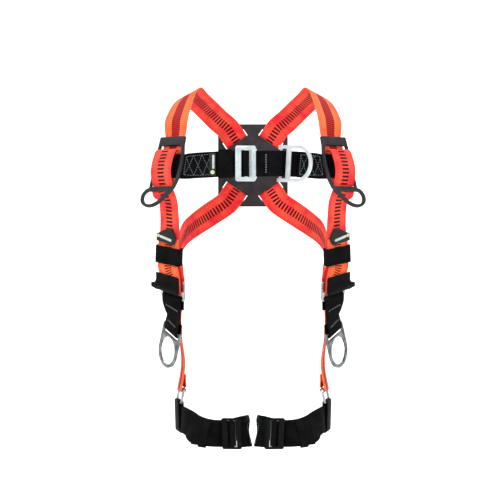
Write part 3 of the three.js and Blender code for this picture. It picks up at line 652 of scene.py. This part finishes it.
def dashed_face(nodes, across, along, mottle, deep, bright, dash_colour, spacing):
    """One colour with painted shade at both edges, dark dashes down the middle and a row of small dark dots
    near each edge.
    """
    base = nodes.mix(mottle, deep, bright)
    # Painted shade: the colour deepens towards both edges of the strap.
    edge = nodes.step(nodes.math("ABSOLUTE", across), 0.017, 0.0225)
    base = nodes.mix(nodes.math("MULTIPLY", edge, 0.6), base, deep)
    ladder = repeat(nodes, along, spacing)
    dots = nodes.math("MULTIPLY", near(nodes, ladder, 0.5, 0.22, 0.05),
                      near(nodes, nodes.math("ABSOLUTE", across), EDGE_LINE_OFFSET, 0.0009, 0.0003))
    base = nodes.mix(nodes.math("MULTIPLY", dots, 0.8), base, DOT_RED)
    dashes = nodes.math("MULTIPLY", near(nodes, ladder, 0.5, 0.26, 0.04),
                        near(nodes, across, 0.0, DASH_HALF_WIDTH, 0.0003))
    return nodes.mix(dashes, base, dash_colour)


def red_face(nodes, across, along, mottle):
    return dashed_face(nodes, across, along, mottle, FACE_RED_DEEP, FACE_RED, DASH_BLACK, WIDE_DASHES)


def orange_dashed_face(nodes, across, along, mottle):
    return dashed_face(nodes, across, along, mottle, ORANGE_DEEP, ORANGE, BAND_DASH, CLOSE_DASHES)


def two_faced_webbing(name, outer_face, inner_face):
    """Webbing with another pattern on its inner face, whose texture coordinates are shifted sideways."""
    nodes = Nodes(name)
    across, along = nodes.uv()
    inner = nodes.math("GREATER_THAN", across, INNER_FACE_SHIFT / 2)
    across = nodes.math("SUBTRACT", across, nodes.math("MULTIPLY", inner, INNER_FACE_SHIFT))
    mottle = nodes.step(nodes.noise(38, 4), 0.32, 0.62)
    faces = [face(nodes, across, along, mottle) for face in (outer_face, inner_face)]
    colour = nodes.mix(inner, *faces)
    nodes.bump(weave_height(nodes, across, along), 0.00022)
    return nodes.finish(colour, 0.78, sheen=0.04, specular=0.14)


def black_webbing():
    nodes = Nodes("black_webbing")
    across, along = nodes.uv()
    height = weave_height(nodes, across, along)
    mottle = nodes.step(nodes.noise(45, 4), 0.3, 0.7)
    colour = nodes.mix(mottle, BLACK, BLACK_RIB)
    nodes.bump(height, 0.0003)
    return nodes.finish(colour, 0.7, specular=0.035)


def elastic_fabric():
    nodes = Nodes("ribbed_elastic")
    place = nodes.tree.nodes.new("ShaderNodeTexCoord")
    split = nodes.tree.nodes.new("ShaderNodeSeparateXYZ")
    nodes.tree.links.new(place.outputs["Object"], split.inputs[0])
    ribs = nodes.math("SINE", nodes.math("MULTIPLY", split.outputs[2], 2 * PI / 0.0022))
    nodes.bump(nodes.math("ADD", ribs, nodes.noise(900, 2)), 0.00025)
    mottle = nodes.step(nodes.noise(60, 3), 0.35, 0.7)
    return nodes.finish(nodes.mix(mottle, linear(8, 8, 9), linear(16, 16, 18)), 0.74, specular=0.05)


def moulded_plastic(name, dark, light, roughness, specular=0.2):
    nodes = Nodes(name)
    grain = nodes.noise(1400, 2)
    mottle = nodes.step(nodes.noise(50, 4), 0.3, 0.72)
    nodes.bump(grain, 0.0001)
    gloss = nodes.step(nodes.noise(130, 3), 0.3, 0.7, roughness - 0.06, roughness + 0.08)
    return nodes.finish(nodes.mix(mottle, dark, light), gloss, specular=specular)


def plated_metal(name, dark, light, roughness, metallic=1.0):
    nodes = Nodes(name)
    mottle = nodes.step(nodes.noise(70, 5), 0.3, 0.7)
    gloss = nodes.step(nodes.noise(240, 4, (1, 1, 4)), 0.3, 0.7, roughness - 0.07, roughness + 0.1)
    nodes.bump(nodes.noise(700, 3), 0.00006)
    return nodes.finish(nodes.mix(mottle, dark, light), gloss, metallic=metallic)


def thread_material(name, colour):
    nodes = Nodes(name)
    nodes.bump(nodes.noise(2600, 2), 0.0001)
    shaded = tuple(0.75 * channel for channel in colour[:3]) + (1.0,)
    return nodes.finish(nodes.mix(nodes.noise(180, 2), colour, shaded), 0.6)


SHOULDER_WEBBING = two_faced_webbing("orange_webbing", orange_face, red_face)
FRONT_WEBBING = two_faced_webbing("red_webbing", red_face, orange_dashed_face)
BLACK_WEBBING = black_webbing()
ELASTIC_FABRIC = elastic_fabric()
CHARCOAL = moulded_plastic("charcoal_plastic", linear(38, 35, 39), linear(50, 47, 51), 0.5)
BLACK_PLASTIC = moulded_plastic("black_plastic", linear(7, 7, 8), linear(14, 14, 15), 0.5, specular=0.06)
LABEL_PLASTIC = moulded_plastic("label_plastic", linear(24, 26, 26), linear(34, 37, 37), 0.42)
STRIP_PLASTIC = moulded_plastic("strip_plastic", linear(164, 172, 166), linear(192, 198, 190), 0.35)
DOT_PLASTIC = moulded_plastic("dot_plastic", linear(172, 184, 130), linear(194, 204, 154), 0.35)
ZINC = plated_metal("zinc_plate", linear(196, 208, 212), linear(224, 232, 234), 0.34)
# Zinc copy for the chest ring, partly diffuse and a little paler so it shows brighter: a painted highlight.
ZINC_PAINTED_HIGHLIGHT = plated_metal("zinc_painted_highlight", linear(206, 213, 216), linear(226, 231, 233), 0.38, metallic=0.7)
STEEL = plated_metal("polished_steel", linear(98, 103, 107), linear(142, 147, 151), 0.22)
SATIN_STEEL = plated_metal("satin_steel", linear(152, 158, 162), linear(190, 195, 198), 0.28)
GREY_THREAD = thread_material("grey_thread", linear(132, 138, 142))
GREEN_THREAD = thread_material("grey_green_thread", linear(122, 133, 133))
RED_THREAD = thread_material("dark_red_thread", linear(150, 30, 30))


# ---------------------------------------------------------------- webbing pieces

RIGHT_SHOULDER = [*SHOULDER_ROUTE, *dorsal_crossing(RIGHT_STRAP_LIFT), *mirror_route(REAR_ROUTE)]
LEFT_SHOULDER = mirror_route([*SHOULDER_ROUTE, *dorsal_crossing(LEFT_STRAP_LIFT), *mirror_route(REAR_ROUTE)])

ribbons = {
    "shoulder_strap_right": (RIGHT_SHOULDER, SHOULDER_WEBBING, "orange_webbing", "harness"),
    "shoulder_strap_left": (LEFT_SHOULDER, SHOULDER_WEBBING, "orange_webbing", "harness"),
    "chest_strap_right": (CHEST_RIGHT_ROUTE, BLACK_WEBBING, "black_webbing", "harness"),
    "chest_strap_left": (CHEST_LEFT_ROUTE, BLACK_WEBBING, "black_webbing", "harness"),
    "chest_strap_centre": (CHEST_CENTRE_ROUTE, BLACK_WEBBING, "black_webbing", "harness"),
}
for side in SIDES:
    turn = mirror_route if side == "left" else list
    ribbons[f"front_strap_{side}"] = (turn(FRONT_ROUTE), FRONT_WEBBING, "red_webbing", "harness")
    ribbons[f"side_connector_{side}"] = (turn(CONNECTOR_ROUTE), BLACK_WEBBING, "black_webbing", "harness")
    ribbons[f"leg_strap_{side}"] = (turn(LEG_ROUTE), BLACK_WEBBING, "black_webbing", f"leg_loop_{side}")

straps = {}
for node, (route, material, slot, body) in ribbons.items():
    straps[node] = Ribbon(route)
    new_object(f"webbing_{node}", straps[node].mesh(node), material, body, (node,))


# ---------------------------------------------------------------- stitching

STITCH_LENGTH = 3.0
STITCH_GAP = 1.2
THREAD_RADIUS = 0.42
THREAD_SIDES = 6
BOX_HALF_WIDTH = 17.5


def stitches_along(ribbon, start, end):
    """Single stitches on a straight seam between two (along, across) points on the outer face of a strap."""
    length = math.dist(start, end)
    count = max(1, int(length / (STITCH_LENGTH + STITCH_GAP)))
    seam = []
    for index in range(count):
        pieces = []
        for share in (0.0, 0.5, 1.0):
            distance = (index + 0.5) / count * length + (share - 0.5) * STITCH_LENGTH
            weight = distance / length
            along = start[0] + (end[0] - start[0]) * weight
            across = start[1] + (end[1] - start[1]) * weight
            lift = ribbon.thickness / 2 + (0.35 if share == 0.5 else -0.1)
            pieces.append(ribbon.place(along, across, lift))
        seam.append(pieces)
    return seam


def thread_mesh(name, seams):
    vertices, faces = [], []
    for points in seams:
        base = len(vertices)
        axis = (points[-1] - points[0]).normalized()
        side = axis.orthogonal().normalized()
        other = axis.cross(side)
        for share, point in zip((0.55, 1.0, 0.55), points):
            for corner in range(THREAD_SIDES):
                angle = 2 * PI * corner / THREAD_SIDES
                offset = side * math.cos(angle) + other * math.sin(angle)
                vertices.append((point + offset * THREAD_RADIUS * share) * MM)
        for ring in range(2):
            for corner in range(THREAD_SIDES):
                following = (corner + 1) % THREAD_SIDES
                first = base + ring * THREAD_SIDES
                faces.append((first + corner, first + following,
                              first + THREAD_SIDES + following, first + THREAD_SIDES + corner))
        faces.append([base + corner for corner in range(THREAD_SIDES)][::-1])
        faces.append([base + 2 * THREAD_SIDES + corner for corner in range(THREAD_SIDES)])
    mesh = bpy.data.meshes.new(name)
    mesh.from_pydata(vertices, [], faces)
    fix_normals(mesh)
    mesh.shade_smooth()
    return mesh


def box_seams(ribbon, start, end, crosses=1):
    """A box of stitching with crosses in it, as sewn where two layers of webbing are joined."""
    half = BOX_HALF_WIDTH
    corners = [(start, -half), (end, -half), (end, half), (start, half)]
    seams = []
    for first, second in zip(corners, corners[1:] + corners[:1]):
        seams += stitches_along(ribbon, first, second)
    for index in range(crosses):
        low = start + (end - start) * index / crosses
        high = start + (end - start) * (index + 1) / crosses
        seams += stitches_along(ribbon, (low, -half), (high, half))
        seams += stitches_along(ribbon, (low, half), (high, -half))
    return seams


def add_stitching(name, seams, material, body):
    new_object(name, thread_mesh(name, seams), material, body)


def distance_at(ribbon, place):
    """How far along a strap lies the point of its middle line nearest to a place."""
    return min(ribbon.rings, key=lambda ring: (ring[0] - place).length)[3]


def row_across(ribbon, along, half_width=17.0, lean=0.0):
    """Two close rows of stitches across the outer face of a strap, one end further along it by the lean."""
    seams = []
    for offset in (-0.7, 0.7):
        start = (along + offset - lean / 2, -half_width)
        end = (along + offset + lean / 2, half_width)
        seams += stitches_along(ribbon, start, end)
    return seams


def sew_chest():
    right, left, centre = (straps[f"chest_strap_{part}"] for part in ("right", "left", "centre"))
    seams = box_seams(right, 5, 52, 3)
    add_stitching("stitching_chest_right", seams, GREEN_THREAD, "harness")
    end = left.length
    seams = box_seams(left, end - 42, end - 4, 3)
    add_stitching("stitching_chest_left", seams, GREEN_THREAD, "harness")
    seams = row_across(centre, distance_at(centre, CHEST.point(35.7, 1.6, 0)))
    add_stitching("stitching_chest_centre", seams, GREY_THREAD, "harness")


def sew_side(side):
    place = mirrored if side == "left" else Vector
    connector = straps[f"side_connector_{side}"]
    seams = []
    for at, lean in (((-144, -62, -388), -12.0), ((-144, -52, -417), 0.0)):
        turn = lean if side == "right" else -lean
        seams += row_across(connector, distance_at(connector, place(at)), 15.5, turn)
    add_stitching(f"stitching_connector_{side}", seams, GREY_THREAD, "harness")

    leg = straps[f"leg_strap_{side}"]
    start = distance_at(leg, place(LEG_BUCKLE.point(27, 3, 0))) + 6
    seams = box_seams(leg, start, start + 26)
    add_stitching(f"stitching_leg_{side}", seams, GREEN_THREAD, f"leg_loop_{side}")

    rear = straps["shoulder_strap_left" if side == "right" else "shoulder_strap_right"]
    end = distance_at(rear, place(HIP.point(0, -4.2, 20)))
    seams = box_seams(rear, end - 30, end - 3)
    add_stitching(f"stitching_hip_{side}", seams, RED_THREAD, "harness")


sew_chest()
for side in SIDES:
    sew_side(side)


# ---------------------------------------------------------------- hardware

def rounded_hardware(node, body, material, width, source=None):
    """Replaces a node by its own mesh, or a finer one of the same shape, with edges rounded by the width."""
    work = bmesh.new()
    work.from_mesh(source or frame["nodes"][node].data)
    bmesh.ops.remove_doubles(work, verts=work.verts, dist=0.00002)
    bmesh.ops.dissolve_limit(work, angle_limit=math.radians(1.5), verts=work.verts, edges=work.edges)
    sharp = [edge for edge in work.edges
             if len(edge.link_faces) == 2 and edge.calc_face_angle(0.0) > math.radians(40)]
    bmesh.ops.bevel(work, geom=sharp, offset=width, offset_type="OFFSET", segments=3,
                    profile=0.5, affect="EDGES", clamp_overlap=True)
    bmesh.ops.recalc_face_normals(work, faces=work.faces)
    mesh = bpy.data.meshes.new(f"rounded_{node}")
    work.to_mesh(mesh)
    work.free()
    mesh.shade_smooth()
    mesh.set_sharp_from_angle(angle=math.radians(50))
    new_object(f"hardware_{node}", mesh, material, body, (node,))


def arc(x, z, radius, start, end, steps=RING_ARC_STEPS):
    """Points on a part of a circle in a stand's x and z, both ends included."""
    angles = [start + (end - start) * step / steps for step in range(steps + 1)]
    return [(x + radius * math.cos(angle), z + radius * math.sin(angle)) for angle in angles]


def ring_outlines(shape):
    """The outer edge of a ring, its slot and its eye. The eye is a circle, or a D where its top is given."""
    radius, drop, arm_top = shape["radius"], -shape["centre_drop"], shape["arm_top"]
    inside = radius - shape["rim"]
    edge = [(-radius, arm_top), *arc(0, drop, radius, PI, 2 * PI), (radius, arm_top), (inside, arm_top),
            (inside, RING_BAR_HALF_HEIGHT), (-inside, RING_BAR_HALF_HEIGHT), (-inside, arm_top)]
    bottom, top = shape["slot_bottom"], -RING_BAR_HALF_HEIGHT
    slot = [(-inside, bottom), (inside, bottom), (inside, top), (-inside, top)]
    if "eye_top" in shape:
        eye = [(-inside, shape["eye_top"]), *arc(0, drop, inside, PI, 2 * PI), (inside, shape["eye_top"])]
    else:
        eye = arc(0, drop, inside, 0, 2 * PI, 2 * RING_ARC_STEPS)[:-1]
    return [edge, slot, eye]


def ring_mesh(name, stand, shape, side="right"):
    """A ring's plate with smooth arcs, in metres, where its stand puts it."""
    outlines = ring_outlines(shape)
    vertices, faces = [], []
    for depth in (-RING_THICKNESS / 2, RING_THICKNESS / 2):
        for outline in outlines:
            places = [stand.point(x, depth, z) for x, z in outline]
            vertices += [(mirrored(place) if side == "left" else place) * MM for place in places]
    layer = len(vertices) // 2
    for triangle in tessellate_polygon([[Vector((x, z, 0)) for x, z in outline] for outline in outlines]):
        faces.append(list(triangle))
        faces.append([layer + corner for corner in triangle])
    first = 0
    for outline in outlines:
        count = len(outline)
        for corner in range(count):
            a, b = first + corner, first + (corner + 1) % count
            faces.append((a, b, layer + b, layer + a))
        first += count
    mesh = bpy.data.meshes.new(name)
    mesh.from_pydata(vertices, [], faces)
    fix_normals(mesh)
    return mesh


for side in SIDES:
    rounded_hardware(f"lanyard_keeper_{side}", "harness", CHARCOAL, 0.0011)
    rounded_hardware(f"adjuster_frame_{side}", "harness", SATIN_STEEL, 0.0012)
    rounded_hardware(f"adjuster_grip_{side}", f"adjuster_grip_{side}", BLACK_PLASTIC,
                     0.0007)
    rounded_hardware(f"strap_end_tab_{side}", "harness", LABEL_PLASTIC, 0.0012)
    rounded_hardware(f"elastic_keeper_{side}", f"elastic_keeper_{side}", ELASTIC_FABRIC, 0.0006)
    rounded_hardware(f"side_ring_{side}", f"side_ring_{side}", STEEL, RING_BEVEL,
                     ring_mesh(f"side_ring_plate_{side}", SIDE_RING, SIDE_RING_SHAPE, side))
    rounded_hardware(f"hip_ring_{side}", "harness", SATIN_STEEL, 0.0015)
    rounded_hardware(f"hip_loop_{side}", f"leg_loop_{side}", BLACK_WEBBING, 0.0006)
    rounded_hardware(f"leg_buckle_plate_{side}", f"leg_buckle_plate_{side}", BLACK_PLASTIC,
                     BUCKLE_BEVEL)
    rounded_hardware(f"leg_buckle_link_{side}", f"leg_loop_{side}", ZINC, BUCKLE_BEVEL)
    rounded_hardware(f"leg_keeper_{side}", f"leg_keeper_{side}", ELASTIC_FABRIC, THIN_BEVEL)
rounded_hardware("chest_buckle_plate", "chest_buckle_plate", ZINC, BUCKLE_BEVEL)
rounded_hardware("chest_buckle_link", "harness", ZINC, BUCKLE_BEVEL)
rounded_hardware("chest_sleeve", "chest_sleeve", ELASTIC_FABRIC, THIN_BEVEL)
# The chest ring takes the zinc copy with the painted highlight.
rounded_hardware("chest_ring", "chest_ring", ZINC_PAINTED_HIGHLIGHT, RING_BEVEL,
                 ring_mesh("chest_ring_plate", CHEST_RING, CHEST_RING_SHAPE))
rounded_hardware("chest_tag", "harness", LABEL_PLASTIC, THIN_BEVEL)
rounded_hardware("dorsal_plate", "harness", CHARCOAL, 0.001)
rounded_hardware("dorsal_ring", "dorsal_ring", STEEL, RING_BEVEL,
                 ring_mesh("dorsal_ring_plate", DORSAL_RING, DORSAL_RING_SHAPE))


# Raised shapes: how deep their roots sit in the piece below, and how finely their curves are cut.
RAISED_SHAPE_ROOT = 0.3
BAR_END_STEPS = 8
DOT_STEPS = 28


def raised_shape(name, stand, outline, face, height, material, side="right"):
    """A thin plate on the outer face of a harness piece, its outline drawn in the stand's x and z."""
    front = [stand.point(x, face - height, z) for x, z in outline]
    back = [stand.point(x, face + RAISED_SHAPE_ROOT, z) for x, z in outline]
    vertices = [(mirrored(at) if side == "left" else at) * MM for at in front + back]
    count = len(outline)
    faces = [list(range(count)), list(range(count, 2 * count))[::-1]]
    for corner in range(count):
        following = (corner + 1) % count
        faces.append((corner, following, count + following, count + corner))
    mesh = bpy.data.meshes.new(name)
    mesh.from_pydata(vertices, [], faces)
    fix_normals(mesh)
    new_object(name, mesh, material, "harness")


def bar_outline(start, end, half_width):
    """A bar with round ends between two points."""
    direction = math.atan2(end[1] - start[1], end[0] - start[0])
    corners = []
    for (x, z), turn in ((end, -PI / 2), (start, PI / 2)):
        first = direction + turn
        corners += arc(x, z, half_width, first, first + PI, BAR_END_STEPS)
    return corners


def round_outline(x, z, radius):
    return arc(x, z, radius, 0, 2 * PI, DOT_STEPS)[:-1]


# A plain light strip and a plain dot stand where the labels carry a mark.
for side in SIDES:
    raised_shape(f"tab_strip_{side}", TAB, bar_outline((-12, -1.6), (8.5, -5.6), 2.3), -3, 0.4,
                 STRIP_PLASTIC, side)
    raised_shape(f"tab_dot_{side}", TAB, round_outline(-17.2, -0.6, 2.9), -3, 0.5,
                 DOT_PLASTIC, side)
raised_shape("tag_strip", CHEST_TAG, bar_outline((1.6, -6), (1.6, 15), 1.9), -0.6, 0.3,
             STRIP_PLASTIC)
raised_shape("tag_dot", CHEST_TAG, round_outline(0.4, -13.5, 3.6), -0.6, 0.4,
             DOT_PLASTIC)

# Moulded ribs along the edges of the dorsal plate.
DORSAL_RIBS = (((-30, 73), (30, 73)), ((-30, -73), (30, -73)), ((-61, -30), (-61, 30)), ((61, -30), (61, 30)))
for number, (start, end) in enumerate(DORSAL_RIBS):
    raised_shape(f"dorsal_rib_{number}", DORSAL, bar_outline(start, end, 1.3), -1.5, 0.9,
                 CHARCOAL)


# ---------------------------------------------------------------- room, light, camera

def add_stage():
    """A pale floor that curves up into a pale wall behind."""
    width, front, back, height, bend, bend_steps = 14.0, -7.0, 5.0, 7.0, 2.5, 12
    floor_height = cad_low.z - STAGE_DROP
    outline = [(front, 0.0), (back - bend, 0.0)]
    for step in range(1, bend_steps + 1):
        angle = PI / 2 * step / bend_steps
        outline.append((back - bend + bend * math.sin(angle), bend - bend * math.cos(angle)))
    outline.append((back, height))
    vertices = [(x, y, floor_height + z) for y, z in outline for x in (-width, width)]
    faces = [(2 * i, 2 * i + 1, 2 * i + 3, 2 * i + 2) for i in range(len(outline) - 1)]
    mesh = bpy.data.meshes.new("studio_sweep")
    mesh.from_pydata(vertices, [], faces)
    mesh.shade_smooth()
    nodes = Nodes("studio_white")
    nodes.finish(linear(250, 250, 250), 0.9)
    mesh.materials.append(nodes.material)
    floor = bpy.data.objects.new("studio_sweep", mesh)
    bpy.context.scene.collection.objects.link(floor)


def add_light(name, location, target, size, power):
    data = bpy.data.lights.new(name, "AREA")
    data.shape = "RECTANGLE"
    data.size, data.size_y = size
    data.energy = power
    light = bpy.data.objects.new(name, data)
    light.location = location
    light.rotation_euler = (Vector(target) - Vector(location)).to_track_quat("-Z", "Y").to_euler()
    bpy.context.scene.collection.objects.link(light)


def add_camera():
    data = bpy.data.cameras.new("camera")
    data.sensor_width = 36.0
    data.lens = CAMERA_LENS
    data.clip_end = 50.0
    camera = bpy.data.objects.new("camera", data)
    camera.location = CAMERA_PLACE
    camera.rotation_euler = (PI / 2, 0, 0)
    bpy.context.scene.collection.objects.link(camera)
    bpy.context.scene.camera = camera


def add_world():
    background = bpy.data.worlds.new("studio")
    background.use_nodes = True
    node = background.node_tree.nodes["Background"]
    node.inputs["Color"].default_value = (1.0, 1.0, 1.0, 1.0)
    node.inputs["Strength"].default_value = WORLD_STRENGTH
    bpy.context.scene.world = background


add_world()
add_stage()
for light_name, (place, target, size, power) in LIGHTS.items():
    add_light(light_name, place, target, size, power)
add_camera()
bpy.context.scene.view_settings.view_transform = "Standard"
